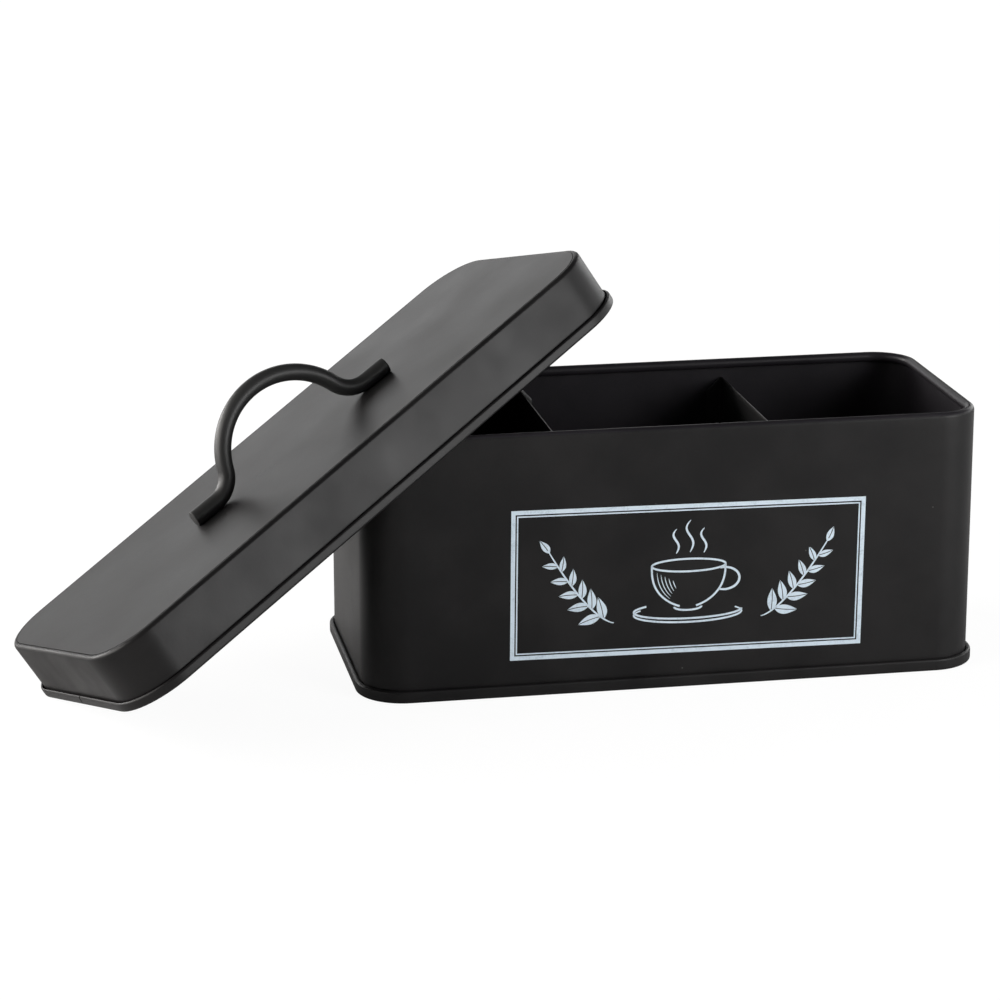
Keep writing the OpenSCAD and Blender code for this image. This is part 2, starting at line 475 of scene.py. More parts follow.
@dataclass(frozen=True)
class PowderCoat(Finish):
    """Satin black powder coat: a fine pebbled grain, a slow unevenness, and a few grains of dust.

    Cells are counted to a metre. The lit inner outline is half the length, half the width and the corners'
    radius of a box round the z axis; its inner side takes the lighter inside tones, painted light that
    stands in for light falling into the box.
    """

    dark: Triple = (0.0065, 0.0062, 0.0066)
    light: Triple = (0.0125, 0.0118, 0.0120)
    rough: float = 0.42
    uneven: float = 0.10
    shine: float = 0.22
    grain_cells: float = 2300
    grain_height: float = 0.028 * MM
    grain_rough: float = 0.08
    pebble_cells: float = 720
    patch_cells: float = 34
    cloud_cells: float = 9
    dust: float = 0.5
    dust_cells: float = 95
    dust_size: float = 0.028
    dust_colour: Triple = (0.13, 0.125, 0.12)
    smudges: float = 0.0
    smudge_cells: Pair = (38, 15)
    smudge_height: float = 0.9 * MM
    lit_inner_outline: Triple | None = None
    half_sheet: float = 0.25 * MM

    def lit_inner_side(self, nodes: Nodes, where: Any) -> Value:
        """Mask of the inner side, whose lighter tones are painted light: length(max(abs(place) - half, 0))
        < radius.

        Args:
            nodes: the finish's nodes.
            where: object coordinates.

        Returns:
            1 inside the middle of the sheet, else 0.
        """
        half_length, half_width, corner = self.lit_inner_outline
        parts = nodes.add("ShaderNodeSeparateXYZ", None, {0: where}).outputs
        along = Value(nodes, parts[0]).past(half_length - corner)
        across = Value(nodes, parts[1]).past(half_width - corner)
        return (along * along + across * across) < (corner - self.half_sheet) ** 2

    def specks(self, nodes: Nodes, where: Any) -> Value:
        """Mask of the grains of dust: the middles of some cells, where a slow noise is high."""
        spread = {"Vector": where, "Scale": self.dust_cells, "Randomness": 1.0}
        speck = nodes.value("ShaderNodeTexVoronoi", None, spread, "Distance") < self.dust_size
        chosen = nodes.noise(where, 60, 1) > 0.56
        return speck * chosen * self.dust

    def paint(self, nodes: Nodes) -> None:
        """Grain and pebbles make the bump, slow noise makes the shade and the roughness uneven."""
        where = nodes.add("ShaderNodeTexCoord").outputs["Object"]
        grain = nodes.noise(where, self.grain_cells, 1.5)
        pebble = nodes.noise(where, self.pebble_cells, 2)
        patch = nodes.noise(where, self.patch_cells, 3, 0.55)
        cloud = nodes.noise(where, self.cloud_cells, 2)
        mixed = {0: patch * 0.55 + cloud * 0.3 + grain * 0.15, 1: 0.36, 2: 0.64}
        shade = nodes.value("ShaderNodeMapRange", {"interpolation_type": "SMOOTHSTEP"}, mixed)
        tone = nodes.blend(shade, self.dark, self.light)
        # Inner side of the wall: lighter inside tones, painted light standing in for the light that falls
        # into the box.
        if self.lit_inner_outline:
            inner = nodes.blend(shade, LIT_INSIDE_DARK, LIT_INSIDE_LIGHT)
            tone = nodes.blend(self.lit_inner_side(nodes, where), tone, inner)
        rough = self.rough + (patch - 0.5) * self.uneven + (cloud - 0.5) * self.uneven
        rough = rough + (grain - 0.5) * self.grain_rough
        normal = nodes.bump(grain * 0.4 + pebble * 0.6, self.grain_height)
        if self.smudges:
            fine, slow = self.smudge_cells
            smudge = nodes.noise(where, fine, 2, 0.45) * 0.6 + nodes.noise(where, slow, 1) * 0.4
            rough = rough + (smudge - 0.5) * self.smudges
            normal = nodes.bump(smudge, self.smudge_height, normal)
        inputs = {
            "Base Color": nodes.blend(self.specks(nodes, where), tone, self.dust_colour),
            "Roughness": rough,
            "Specular IOR Level": self.shine,
            "Normal": normal,
        }
        shader = nodes.add("ShaderNodeBsdfPrincipled", None, inputs)
        nodes.add("ShaderNodeOutputMaterial", None, {"Surface": shader.outputs[0]})


@dataclass(frozen=True)
class PrintInk(Finish):
    """Pale ink, printed in a thin even layer with a few faint spots where the coat shows through."""

    pale: Triple = (0.66, 0.77, 0.86)
    thin: Triple = (0.50, 0.60, 0.68)
    fine_cells: float = 1500
    slow_cells: float = 160
    height: float = 0.012 * MM

    def paint(self, nodes: Nodes) -> None:
        """Fine noise thins the ink here and there."""
        where = nodes.add("ShaderNodeTexCoord").outputs["Object"]
        fine = nodes.noise(where, self.fine_cells, 2)
        slow = nodes.noise(where, self.slow_cells, 2)
        cover = nodes.value("ShaderNodeMapRange", None, {0: fine * 0.5 + slow * 0.5, 1: 0.32, 2: 0.5})
        colour = nodes.blend(cover, self.thin, self.pale)
        normal = nodes.bump(fine, self.height)
        inputs = {"Base Color": colour, "Roughness": 0.55 + slow * 0.1, "Normal": normal}
        shader = nodes.add("ShaderNodeBsdfPrincipled", None, inputs)
        nodes.add("ShaderNodeOutputMaterial", None, {"Surface": shader.outputs[0]})


class Coat(Enum):
    """The finishes of this box, by where they are."""

    # The inside coat and the outside coat's inner side have lighter tones: painted light for the light
    # that falls into the box.
    OUTSIDE = PowderCoat("coat_outside", "coat", lit_inner_outline=(125 * MM, 55 * MM, 17.5 * MM))
    BASE = PowderCoat("coat_base", "coat_inside")
    LIT_INSIDE = PowderCoat("coat_inside", "coat_inside", LIT_INSIDE_DARK, LIT_INSIDE_LIGHT, rough=0.46, shine=0.36)
    LID = PowderCoat("coat_lid", "coat", uneven=0.13)
    SKIRT = PowderCoat("coat_skirt", "coat", smudges=0.5)
    WIRE = PowderCoat("coat_wire", "coat_wire", rough=0.36, grain_height=0.02 * MM, shine=0.4)
    INK = PrintInk("print_ink", "coat")


# The box


@dataclass
class Box:
    """The box without its lid: wall, base and dividers, all of one sheet thickness."""

    sheet: float = 0.5 * MM
    corner: float = 17.5 * MM
    rim_roll: float = 4 * MM
    seam_height: float = 5 * MM
    seam_out: float = 2 * MM
    fold_gap: float = 0.1 * MM
    floor_rise: float = 3.6 * MM
    flange_width: float = 6.5 * MM
    flange_cut: float = 5.5 * MM
    flange_bend: float = 0.8 * MM
    wave_height: float = 0.05 * MM
    wave_length: float = 70 * MM
    wave_margin: float = 8 * MM
    divider_bow: float = 0.12 * MM
    weld_reach: float = 2.1 * MM
    weld_ring: float = 1.3 * MM
    weld_width: float = 0.45 * MM
    weld_proud: float = 0.09 * MM
    weld_heights: Triple = (0.12, 0.5, 0.88)
    body: str = "box"

    def __post_init__(self) -> None:
        """Takes the outside sizes from the CAD model, and works out the folded bottom seam's.

        The seam's sizes go outwards from the wall's outer face and up from the table.
        """
        low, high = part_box("base_panel")
        self.length = high.x - low.x - 2 * self.seam_out
        self.depth = high.y - low.y - 2 * self.seam_out
        self.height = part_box("body_wall")[1].z
        self.front = low.y + self.seam_out
        self.outline = RoundedOutline(self.length, self.depth, self.corner)
        self.lap_mid = (self.seam_out + self.fold_gap) / 2
        self.lap_inner = (self.seam_out - self.fold_gap) / 2 - self.sheet
        self.lap_top = self.seam_height - self.lap_inner - self.sheet
        self.hook_leg = self.lap_mid - self.sheet / 2
        self.hook_inner = self.hook_leg / 2
        self.hook_mid = 2 * self.sheet + self.hook_inner + self.fold_gap
        self.lap_end = self.hook_mid + self.hook_inner + self.fold_gap

    def bulge(self, points: Array) -> Array:
        """How far the wall stands out: slow waves that die away at the rim and the seam."""
        share = np.clip((points[..., 2] - self.wave_margin) / (self.height - 2 * self.wave_margin), 0, 1)
        return self.wave_height * np.sin(np.pi * share) * swell(points, 3, self.wave_length)

    def wall(self) -> None:
        """Wrapper: hook at the bottom, slightly uneven upright wall, and a top edge rolled inwards."""
        half = self.sheet / 2
        rim = self.rim_roll / 2
        rim_mid = self.height - rim
        path = joined(
            line((self.hook_leg + half, self.lap_top), (self.hook_leg + half, self.hook_mid)),
            arc((self.hook_inner, self.hook_mid), self.hook_inner + half, 0, -180, 11),
            line((-half, self.hook_mid), (-half, rim_mid), 26),
            arc((-rim, rim_mid), rim - half, 0, 270, 25),
            line((-rim, rim_mid - rim + half), (-self.sheet - self.fold_gap, rim_mid - rim + half), 3),
        )
        grid = self.outline.carry(folded_sheet(path, self.sheet))
        grid = grid + self.outline.normals()[:, None] * self.bulge(grid)[..., None]
        piece = Shell().grid(grid, around=True, across=True).piece("wall", Coat.OUTSIDE.value, self.body)
        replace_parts(piece, "body_wall")

    def base(self) -> None:
        """Base: a sunk floor whose edge goes down inside the wall and is folded twice round its hook."""
        half = self.sheet / 2
        turn = 2 * self.sheet
        inner = -(2 * self.sheet + self.fold_gap)
        floor_top = self.floor_rise + self.sheet
        inward = -self.depth / 2
        floor_end = inner + self.sheet - turn
        path = joined(
            line((inward, self.floor_rise + half), (floor_end, self.floor_rise + half), 12),
            arc((floor_end, floor_top - turn), turn - half, 90, 0, 7),
            line((inner + half, floor_top - turn), (inner + half, turn)),
            arc((inner + turn, turn), turn - half, 180, 270, 7),
            line((inner + turn, half), (self.seam_out - turn, half)),
            arc((self.seam_out - turn, turn), turn - half, 270, 360, 9),
            line((self.seam_out - half, turn), (self.seam_out - half, self.lap_top), 5),
            arc((self.lap_mid, self.lap_top), self.lap_inner + half, 0, 180, 15),
            line((self.fold_gap + half, self.lap_top), (self.fold_gap + half, self.lap_end)),
        )
        section = folded_sheet(path, self.sheet)
        section[:, 0] = np.maximum(section[:, 0], inward)
        piece = Shell().grid(self.outline.carry(section), around=True, across=True)
        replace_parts(piece.piece("base", Coat.BASE.value, self.body, weld=1e-6), "base_panel")

    def divider(self, name: str, node: str, way: int) -> None:
        """Divider: a web with a flange bent along each end, whose top corners are cut off at 45 degrees.

        Args:
            name: name of the new piece.
            node: the CAD node that it stands for.
            way: 1 if its flanges point along x, -1 if they point the other way.
        """
        low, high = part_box(node)
        web = (low.x if way > 0 else high.x) + way * self.sheet / 2
        turned = self.flange_bend + self.sheet / 2
        end = (high.y - low.y) / 2 - self.sheet / 2
        reach = self.flange_width - self.sheet / 2
        half = joined(
            line((0, 0), (0, end - turned), 14),
            arc((turned, end - turned), turned, 180, 90, 9),
            line((turned, end), (reach, end), 9),
        )
        path = np.concatenate([(half * [1, -1])[:0:-1], half])
        section = folded_sheet(path, self.sheet)
        top = high.z - np.maximum(0, section[:, 0] - (reach - self.flange_cut))
        rounded, drawn_in = 0.002, 0.35
        share = np.concatenate([[0, rounded], np.linspace(0.02, 0.98, 15), [1 - rounded, 1]])
        height = low.z + share[:, None] * (top - low.z)
        edge = np.clip(np.minimum(share, 1 - share) / rounded, 0, 1)[:, None]
        mid = np.concatenate([path, np.tile(path[-1], (3, 1)), path[::-1], np.tile(path[0], (3, 1))])
        flat = section + (1 - edge[..., None]) * (mid - section) * drawn_in
        bow = self.divider_bow * np.sin(np.pi * share)[:, None] * np.cos(np.pi * flat[..., 1] / 2 / end)
        grid = np.stack([web + way * (flat[..., 0] + bow), way * flat[..., 1], height], axis=-1)
        shell = Shell().grid(grid, across=True)
        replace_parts(shell.piece(name, Coat.LIT_INSIDE.value, self.body), node)

    def weld_marks(self) -> None:
        """Spot welds on the dividers' flanges: low rings, height = h * exp(-((r - ring) / width)^2)."""
        shell = Shell()
        radius = np.linspace(0, self.weld_reach, 8)
        angle = np.radians(np.arange(0, 360, 18))
        proud = self.weld_proud * np.exp(-(((radius - self.weld_ring) / self.weld_width) ** 2))
        for node in ("divider_left", "divider_right"):
            low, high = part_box(node)
            for side in (-1, 1):
                for share in self.weld_heights:
                    face = side * ((high.y - low.y) / 2 - self.sheet)
                    x = (low.x + high.x) / 2 + radius[:, None] * np.cos(angle)
                    z = low.z + share * (high.z - low.z) + radius[:, None] * np.sin(angle)
                    y = np.broadcast_to((face - side * proud)[:, None], x.shape)
                    upper = np.stack([x, y, z], axis=-1)
                    lower = upper[::-1] * [1, 0, 1] + [0, face + side * 0.1 * MM, 0]
                    shell.grid(np.concatenate([upper, lower]), across=True)
        shell.faces = [part for part in shell.faces if part.shape[1] == 4]
        shell.piece("weld_marks", Coat.LIT_INSIDE.value, self.body)


# The print on the front


@dataclass
class Print:
    """A pale drawing on the front wall: a double frame, a steaming cup, and a leafy twig on each side."""

    box: Box
    middle: Pair = (4.35 * MM, 44.65 * MM)
    size: Pair = (143.4 * MM, 61.4 * MM)
    turn: float = -0.62
    broad: float = 1.7 * MM
    gap: float = 0.55 * MM
    narrow: float = 0.55 * MM
    ink: float = 0.03 * MM
    pen: float = 0.8 * MM
    cup_radius: float = 15 * MM
    cup_depth: float = 17.5 * MM
    cup_rim: float = 5.5 * MM
    saucer_radius: float = 22 * MM
    shell: Shell = field(default_factory=Shell)

    def on_wall(self, flat: Array) -> Array:
        """Puts points of the drawing on the wall: turned, moved to their middle, and out by the ink.

        Args:
            flat: points in the drawing's own plane, right and up from its middle.

        Returns:
            The same points in 3D, on the ink's outer face.
        """
        turn = np.radians(self.turn)
        x = self.middle[0] + flat[..., 0] * np.cos(turn) - flat[..., 1] * np.sin(turn)
        z = self.middle[1] + flat[..., 0] * np.sin(turn) + flat[..., 1] * np.cos(turn)
        wall = np.stack([x, np.full_like(x, self.box.front), z], axis=-1)
        out = self.box.bulge(wall) + self.ink
        return wall - out[..., None] * np.array([0, 1, 0])

    def lay(self, points: Array) -> None:
        """Adds one inked area, given as a grid in the drawing's plane."""
        self.shell.plate(self.on_wall(points), np.array([0, 1, 0]), 2 * self.ink)

    def stroke(self, path: Array, width: float, taper: float = 0.0) -> None:
        """A pen line: path +- half the width to each side, thinner towards its ends.

        Args:
            path: middle of the line, as points.
            width: width of the line where it is broadest.
            taper: share of the width that is lost at the ends.
        """
        side = directions(path)[1]
        share = np.linspace(0, 1, len(path))
        half = width / 2 * (1 - taper * np.abs(2 * share - 1) ** 3)[:, None]
        across = np.linspace(-1, 1, 3)[None, :, None]
        self.lay(path[:, None] + across * (side * half)[:, None])

    def oval(self, middle: Pair, radii: Pair, angle: Array, *pen: float) -> None:
        """A pen line of a width and taper along part of an ellipse: middle + radii * (cos a, sin a)."""
        self.stroke(np.asarray(middle) + np.asarray(radii) * ring(angle), *pen)

    def frame(self) -> None:
        """Two rectangles of lines, the broad one outside, made of mitred runs."""
        for inset, width in ((0.0, self.broad), (self.broad + self.gap, self.narrow)):
            outer = np.array(self.size) / 2 - inset
            signs = np.array([[-1, -1], [1, -1], [1, 1], [-1, 1], [-1, -1]])
            for first, last in zip(signs[:-1], signs[1:]):
                share = np.linspace(0, 1, 30)[:, None, None]
                ends = [np.stack([sign * outer, sign * (outer - width)]) for sign in (first, last)]
                self.lay(ends[0][None] + share * (ends[1] - ends[0])[None])

    def leaf(self, root: Array, angle: float, length: float, width: float) -> None:
        """A leaf in two halves with a bare vein: half-width = w * sin(pi * t ^ 0.8), t from stem to tip.

        Args:
            root: where the leaf leaves its twig.
            angle: its direction, in degrees.
            length: its length.
            width: half of its greatest width.
        """
        share = np.linspace(0, 1, 16)
        reach = width * np.sin(np.pi * share**0.8)
        way = ring(np.radians(angle))
        side = np.array([-way[1], way[0]])
        spine = root + share[:, None] * length * way + (0.12 * length * share**2)[:, None] * side
        for sign in (-1, 1):
            near = np.minimum(0.16 * MM, reach * 0.5)
            across = np.stack([near, (near + reach) / 2, reach], axis=-1)
            self.lay(spine[:, None] + sign * across[..., None] * side)

    def twig(self, mirror: int) -> None:
        """A twig with leaves on both sides, steeper towards its tip: y = y0 + h * t^1.5."""
        share = np.linspace(0, 1, 40)
        stem = np.stack([30 * MM + 27 * MM * share, -17 * MM + 31 * MM * share**1.5], axis=-1)
        self.stroke(stem * [mirror, 1], 0.75 * MM, 0.45)
        slope = np.degrees(np.arctan2(*np.gradient(stem, axis=0).T[::-1]))
        for index, place in enumerate((6, 13, 19, 25, 31)):
            grown = (9.4 - 0.75 * index) * MM
            for lean in (48, -46):
                root = stem[place + (2 if lean < 0 else 0)] * [mirror, 1]
                heading = slope[place] + lean
                self.leaf(root, heading if mirror > 0 else 180 - heading, grown, 0.21 * grown)
        tip = slope[-1] if mirror > 0 else 180 - slope[-1]
        self.leaf(stem[-2] * [mirror, 1], tip, 6.6 * MM, 1.5 * MM)

    def bowl(self, depth: Array) -> Array:
        """Half the cup's width at a share of its depth: a * (1 - t^2.6)^0.62."""
        return self.cup_radius * (1 - depth**2.6) ** 0.62

    def cup(self) -> None:
        """A round cup on a saucer: ellipses for the rims, the bowl's two sides, an ear, and shading."""
        round_about = np.linspace(0, 2 * np.pi, 60)
        self.oval((0, self.cup_rim), (self.cup_radius, 2.6 * MM), round_about, self.pen)
        depth = np.linspace(0, 0.965, 34)
        side = np.stack([self.bowl(depth), self.cup_rim - self.cup_depth * depth], axis=-1)
        for mirror in (-1, 1):
            self.stroke(side * [mirror, 1], self.pen)
        foot = np.radians(np.linspace(180, 360, 30))
        self.oval((0, -11.6 * MM), (5.6 * MM, 1.5 * MM), foot, self.pen)
        self.oval((0, -13.2 * MM), (self.saucer_radius, 3.4 * MM), round_about[23:], self.pen)
        saucer_edge = np.radians(np.linspace(151, 389, 60))
        self.oval((0, -14.4 * MM), (self.saucer_radius, 3.7 * MM), saucer_edge, self.pen, 0.3)
        ear = np.radians(np.linspace(106, -112, 34))
        self.oval((14.6 * MM, -0.6 * MM), (6.2 * MM, 4.6 * MM), ear, 0.95 * MM, 0.2)
        for index in range(5):
            fall = np.linspace(0.15 + 0.05 * index, 0.78 - 0.06 * index, 16)
            reach = self.bowl(fall) - (2.1 + 1.5 * index) * MM
            shading = np.stack([-reach, self.cup_rim - self.cup_depth * fall], axis=-1)
            self.stroke(shading, 0.36 * MM, 0.8)

    def steam(self) -> None:
        """Three curls of steam that widen as they rise: x = x0 + a * sin(2 pi t) * (1 + t) / 2."""
        share = np.linspace(0, 1, 34)
        curls = ((-5.2, 10.4, 20.6, 1.5), (0.4, 10.8, 24.0, 1.9), (6.0, 10.4, 20.6, 1.5))
        for middle, low, high, sway in curls:
            x = middle + sway * np.sin(2 * np.pi * share) * (0.5 + 0.5 * share)
            self.stroke(np.stack([x, low + (high - low) * share], axis=-1) * MM, 0.9 * MM, 0.75)

    def build(self) -> None:
        """Draws everything and makes the printed layer."""
        self.frame()
        self.cup()
        self.steam()
        for mirror in (-1, 1):
            self.twig(mirror)
        self.shell.piece("print", Coat.INK.value, self.box.body, crease=60)


# The lid


@dataclass
class Lid:
    """The lid, lifted off and leaning on the box: skirt, rolled hem, top panel and wire handle."""

    sheet: float = 0.5 * MM
    height: float = 25 * MM
    hem_height: float = 4.2 * MM
    hem_out: float = 1.6 * MM
    hem_root: float = 1.2 * MM
    hem_curl: float = 62
    hem_thinned: float = 0.98
    skirt_bend: float = 1.7 * MM
    shelf_width: float = 6 * MM
    step_width: float = 0.35 * MM
    edge_round: float = 0.06 * MM
    joint_gap: float = 0.8 * MM
    weld_gap: float = 0.05 * MM
    dent_depth: float = 0.07 * MM
    dent_length: float = 38 * MM
    dent_margins: Pair = (4 * MM, 2 * MM)
    sag: float = 0.04 * MM
    sag_length: float = 80 * MM
    sag_margin: float = 25 * MM
    lean: float = 32.9
    turn: float = 21.9
    sideways: float = 1.7
    length: float = 258.5 * MM
    depth: float = 121.2 * MM
    corner: float = 21.75 * MM
    body: str = "lid"

    def __post_init__(self) -> None:
        """Works out the lid's place: the top panel's middle, turned by the three angles."""
        turned = (
            Matrix.Rotation(np.radians(-self.lean), 4, "Y")
            @ Matrix.Rotation(np.radians(-self.sideways), 4, "X")
            @ Matrix.Rotation(np.radians(self.turn), 4, "Z")
        )
        low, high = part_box("lid_panel")
        upper = (low + high) / 2 + turned.to_3x3().col[2] * self.sheet / 2
        self.pose = Matrix.Translation(upper) @ turned
        self.outline = RoundedOutline(self.length, self.depth, self.corner)
        self.hem_leg = self.hem_out - self.sheet
        self.hem_mid = self.hem_leg / 2 + self.sheet - self.height
        room = self.hem_height - self.hem_leg - 2 * self.sheet
        self.hem_lap = (min(self.hem_out, room) + self.sheet) / 2
        self.hem_lap_top = self.hem_height - self.height - self.hem_lap

    def dents(self, points: Array) -> Array:
        """How far the skirt stands out: slow waves that die away at the bend and the hem."""
        below, above = self.dent_margins
        share = np.clip((points[..., 2] + self.height - below) / (self.height - below - above), 0, 1)
        return self.dent_depth * np.sin(np.pi * share) * swell(points, 11, self.dent_length)

    def skirt(self) -> None:
        """Skirt: shelf under the top panel, step up beside it, bend, and the wall down to the hem."""
        half = self.sheet / 2
        shelf = -(self.sheet + self.weld_gap)
        step = -self.skirt_bend - self.weld_gap
        bend_top = -half - self.weld_gap
        bend_mid = bend_top - self.skirt_bend + half
        path = joined(
            line((-self.shelf_width, shelf - half), (step - self.step_width, shelf - half), 4),
            line((step - self.step_width, shelf - half), (step, bend_top), 3),
            arc((-self.skirt_bend, bend_mid), self.skirt_bend - half, 90, 0, 12),
            line((-half, bend_mid), (-half, self.hem_mid), 16),
        )
        grid = self.outline.carry(folded_sheet(path, self.sheet))
        grid = grid + self.outline.normals()[:, None] * self.dents(grid)[..., None]
        shell = Shell().grid(grid, around=True, across=True).moved(self.pose)
        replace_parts(shell.piece("lid_skirt", Coat.SKIRT.value, self.body), "lid_band")

    def hem(self) -> None:
        """Hem: the skirt's edge rolled outwards and up, with a gap where its two ends meet."""
        half = self.sheet / 2
        path = joined(
            line((-half, self.hem_mid + self.hem_root), (-half, self.hem_mid), 3),
            arc((self.hem_leg / 2, self.hem_mid), self.hem_leg / 2 + half, 180, 360, 17),
            line((self.hem_leg + half, self.hem_mid), (self.hem_leg + half, self.hem_lap_top), 4),
            arc((self.hem_out - self.hem_lap, self.hem_lap_top), self.hem_lap - half, 0, self.hem_curl, 9),
        )
        grid = self.outline.carry(folded_sheet(path, self.sheet * self.hem_thinned))
        grid = np.concatenate([grid, grid[:1]])
        grid[0, :, 1] -= self.joint_gap / 2
        grid[-1, :, 1] += self.joint_gap / 2
        shell = Shell().grid(grid, across=True).moved(self.pose)
        shell.piece("lid_hem", Coat.LID.value, self.body)

    def panel(self) -> None:
        """Top panel: flat sheet with a slight unevenness and a fine rounded edge."""
        half = self.sheet / 2
        inward = -self.depth / 2
        edge = -self.skirt_bend - self.step_width - 3 * self.weld_gap - self.edge_round
        section = folded_sheet(line((inward, -half), (edge, -half), 22), self.sheet, 6)
        past = np.maximum(section[:, 0] - edge, 0)
        section[:, 0] = np.maximum(section[:, 0] + past * (self.edge_round / half - 1), inward)
        grid = self.outline.carry(section)
        away = np.clip((self.length / 2 - np.abs(grid[..., 0])) / self.sag_margin, 0, 1)
        grid[..., 2] += self.sag * away * (swell(grid, 5, self.sag_length) - 1)
        shell = Shell().grid(grid, around=True, across=True).moved(self.pose)
        piece = shell.piece("lid_panel_skin", Coat.LID.value, self.body, weld=1e-6)
        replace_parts(piece, "lid_panel")

    def build(self) -> None:
        """Makes the lid's sheet pieces."""
        self.skirt()
        self.hem()
        self.panel()


@dataclass
class Handle:
    """The handle: one bent wire with an arch, a bend into each foot, and two flat feet."""

    lid: Lid
    wire: float = 6.8 * MM
    height: float = 33.3 * MM
    arch_radius: float = 30.4 * MM
    foot_bend: float = 12 * MM
    foot_length: float = 11 * MM
    foot_flat: float = 0.2 * MM
    turn: float = -3.8
    tilt: float = 3.5
    along: float = -1 * MM
    across: float = -2.1 * MM
    end_round: float = 0.25 * MM

    def centreline(self) -> Array:
        """Middle of the wire in the handle's plane, from foot to foot.

        Returns:
            Points, count by 2.
        """
        wire_mid = self.wire / 2 - self.foot_flat
        arch_mid = self.height - self.arch_radius - self.wire / 2
        rise = wire_mid + self.foot_bend - arch_mid
        start = np.degrees(np.arcsin(rise / (self.arch_radius + self.foot_bend)))
        bend_x = (self.arch_radius + self.foot_bend) * np.cos(np.radians(start))
        end = bend_x + self.foot_length
        half = joined(
            arc((0, arch_mid), self.arch_radius, 90, start, 40),
            arc((bend_x, wire_mid + self.foot_bend), self.foot_bend, 180 + start, 270, 22),
            line((bend_x, wire_mid), (end - self.end_round, wire_mid), 12),
            line((end - self.end_round, wire_mid), (end, wire_mid), 4),
        )
        return np.concatenate([(half * [-1, 1])[:0:-1], half])

    def build(self) -> None:
        """Wire: circles carried along its middle line, pressed flat at the lid, with rounded ends."""
        path = self.centreline()
        across = directions(path)[1]
        turn = np.radians(np.arange(0, 360, 10))
        reach = np.full(len(path), self.wire / 2)
        for step, narrower in enumerate((0.3 * MM, 0.12 * MM, 0.03 * MM)):
            reach[[step, -1 - step]] -= narrower
        reach = reach[:, None]
        out = path[:, None, :] + across[:, None, :] * (reach * np.cos(turn))[..., None]
        side = reach * np.sin(turn)
        wire_mid = self.wire / 2 - self.foot_flat
        tilt = np.radians(self.tilt)
        rise = out[..., 1] - wire_mid
        depth = side * np.cos(tilt) + rise * np.sin(tilt)
        height = np.maximum(0, wire_mid + rise * np.cos(tilt) - side * np.sin(tilt))
        grid = np.stack([out[..., 0], depth, height], axis=-1)
        turned = Matrix.Rotation(np.radians(self.turn), 4, "Z")
        place = Matrix.Translation((self.along, self.across, 0)) @ turned
        shell = Shell().grid(grid, across=True).moved(self.lid.pose @ place)
        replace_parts(shell.piece("handle_wire", Coat.WIRE.value, self.lid.body), "handle")


# The studio


@dataclass
class Lamp:
    """One soft lamp: where it hangs, where it points, its size and its power."""

    name: str
    place: Triple
    aim: Triple
    size: Pair
    power: float
    tint: Triple = (1.0, 1.0, 1.0)

    def build(self) -> None:
        """Hangs the lamp, unseen by the camera."""
        light = bpy.data.lights.new(self.name, "AREA")
        light.shape = "RECTANGLE"
        light.size, light.size_y = self.size
        light.energy = self.power
        light.color = self.tint
        lamp = linked(self.name, light)
        lamp.matrix_world = facing(np.array(self.place), np.array(self.aim))
        lamp.visible_camera = False


def posed(place: Array, right: Array, up: Array, back: Array) -> Matrix:
    """The pose of something at a place, from the directions of its three axes."""
    return Matrix.Translation(place) @ Matrix(np.stack([right, up, back], axis=-1)).to_4x4()


def facing(place: Array, aim: Array) -> Matrix:
    """The pose of something at a place whose back axis points away from what it aims at."""
    back = unit(place - aim)
    right = unit(np.cross([0, 0, 1], back))
    return posed(place, right, np.cross(back, right), back)


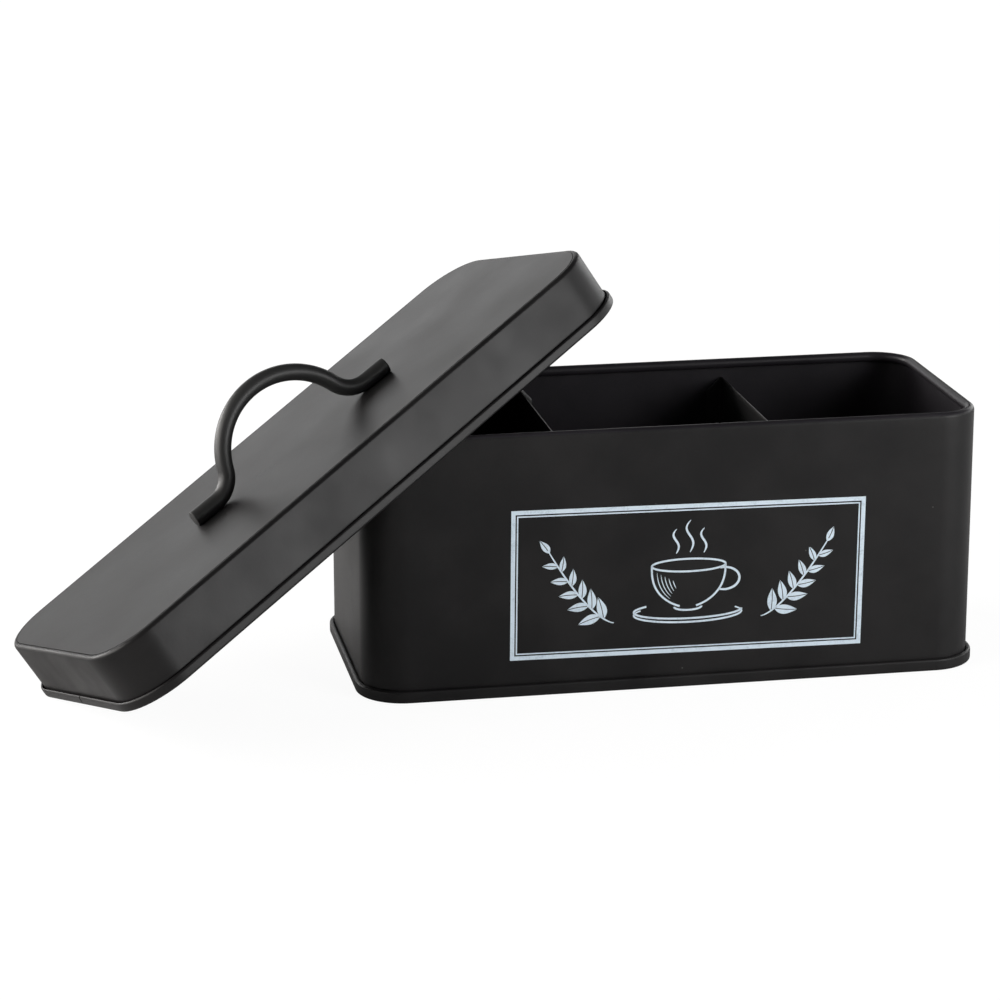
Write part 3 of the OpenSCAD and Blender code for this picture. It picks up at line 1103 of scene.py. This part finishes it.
@dataclass
class Studio:
    """Floor, lamps, surroundings and camera."""

    azimuth: float = -10.4055
    elevation: float = 15.8318
    roll: float = -0.1333
    distance: float = 1.36528
    focal: float = 3322.80
    seen_at: Pair = (647.064, 519.452)
    picture: int = 1000
    floor_white: float = 0.82
    floor_glow: float = 1.1
    glow_share: float = 0.85
    ambient: float = 0.07
    lamps: tuple[Lamp, ...] = (
        Lamp("key_right", (1.0, -1.05, 0.42), (-0.05, 0, 0.06), (0.9, 0.8), 16.5),
        Lamp("back_middle", (-0.3, 2.6, 0.75), (-0.1, 0, 0.1), (2.2, 1.1), 10.8),
        Lamp("back_right", (2.2, 2.2, 0.75), (0, 0, 0.1), (1.8, 1.1), 22.0),
        Lamp("back_left", (-2.6, 2.0, 0.75), (0, 0, 0.1), (1.8, 1.1), 70.0, (1.0, 0.98, 0.965)),
        Lamp("overhead", (0.1, 0.0, 1.5), (0.1, 0, 0), (1.2, 1.0), 7.0),
        Lamp("left_side", (-2.0, -0.1, 0.5), (0, 0, 0.08), (2.2, 1.5), 58.0, (1.0, 0.97, 0.94)),
        Lamp("right_side", (2.0, 0.1, 0.5), (0, 0, 0.08), (1.2, 0.8), 7.5),
    )

    def camera(self, box: Box) -> None:
        """Camera at the photograph's viewing angle, so far away that the box's middle has its own depth.

        Args:
            box: the box that the camera looks at.
        """
        azimuth, elevation, roll = np.radians([self.azimuth, self.elevation, self.roll])
        back = np.array([np.sin(azimuth), -np.cos(azimuth), np.tan(elevation)]) * np.cos(elevation)
        level = np.array([np.cos(azimuth), np.sin(azimuth), 0])
        upright = np.cross(back, level)
        right = level * np.cos(roll) + upright * np.sin(roll)
        up = upright * np.cos(roll) - level * np.sin(roll)
        aside = (np.array(self.seen_at) - self.picture / 2) / self.focal * self.distance
        place = np.array([0, 0, box.height / 2]) - aside[0] * right + aside[1] * up + self.distance * back
        lens = bpy.data.cameras.new("camera")
        lens.sensor_width = 36
        lens.lens = self.focal * lens.sensor_width / self.picture
        lens.clip_end = 30
        camera = linked("camera", lens)
        camera.matrix_world = posed(place, right, up, back)
        bpy.context.scene.camera = camera

    def floor(self) -> None:
        """Pale floor, as a wide sheet just under the box. It keeps the object's shadow."""
        reach = np.linspace(-7, 7, 8)
        x, y = np.meshgrid(reach, reach, indexing="ij")
        mesh = bpy.data.meshes.new("floor")
        points = np.stack([x, y, np.full_like(x, -0.05 * MM)], axis=-1)
        index = np.arange(x.size).reshape(x.shape)
        mesh.from_pydata(points.reshape(-1, 3).tolist(), [], cells(index).tolist())
        floor = linked("floor", mesh)
        material = bpy.data.materials.new("pale_floor")
        material.use_nodes = True
        nodes = Nodes(material.node_tree)
        seen = nodes.value("ShaderNodeLightPath", None, {}, "Is Camera Ray")
        pale = (self.floor_white, self.floor_white, self.floor_white, 1)
        matt = nodes.add("ShaderNodeBsdfDiffuse", None, {"Color": pale})
        glow = nodes.add("ShaderNodeEmission", None, {"Color": (1, 1, 1, 1), "Strength": self.floor_glow})
        mixed = {0: seen * self.glow_share, 1: matt.outputs[0], 2: glow.outputs[0]}
        both = nodes.add("ShaderNodeMixShader", None, mixed)
        nodes.add("ShaderNodeOutputMaterial", None, {"Surface": both.outputs[0]})
        mesh.materials.append(material)

    def surroundings(self) -> None:
        """White for the camera, and a plain soft grey that lights and is reflected."""
        world = bpy.data.worlds.new("studio")
        world.use_nodes = True
        bpy.context.scene.world = world
        nodes = Nodes(world.node_tree)
        seen = nodes.value("ShaderNodeLightPath", None, {}, "Is Camera Ray")
        strength = seen * (1 - self.ambient) + self.ambient
        shade = nodes.add("ShaderNodeBackground", None, {"Color": (1, 1, 1, 1), "Strength": strength})
        nodes.add("ShaderNodeOutputWorld", None, {"Surface": shade.outputs[0]})

    def build(self, box: Box) -> None:
        """Sets up the whole studio round the box."""
        self.camera(box)
        self.floor()
        self.surroundings()
        for lamp in self.lamps:
            lamp.build()
        bpy.context.scene.view_settings.view_transform = "Standard"


def main() -> None:
    """Builds the box, its print, the lid, the handle and the studio."""
    logging.basicConfig(level=logging.INFO, format="%(name)s: %(message)s")
    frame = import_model()
    LOG.info("frame with nodes %s", ", ".join(sorted(frame["nodes"])))
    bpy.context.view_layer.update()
    box = Box()
    Studio().build(box)
    box.wall()
    box.base()
    box.divider("divider_near", "divider_left", 1)
    box.divider("divider_far", "divider_right", -1)
    box.weld_marks()
    Print(box).build()
    lid = Lid()
    lid.build()
    Handle(lid).build()


if __name__ == "__main__":
    main()
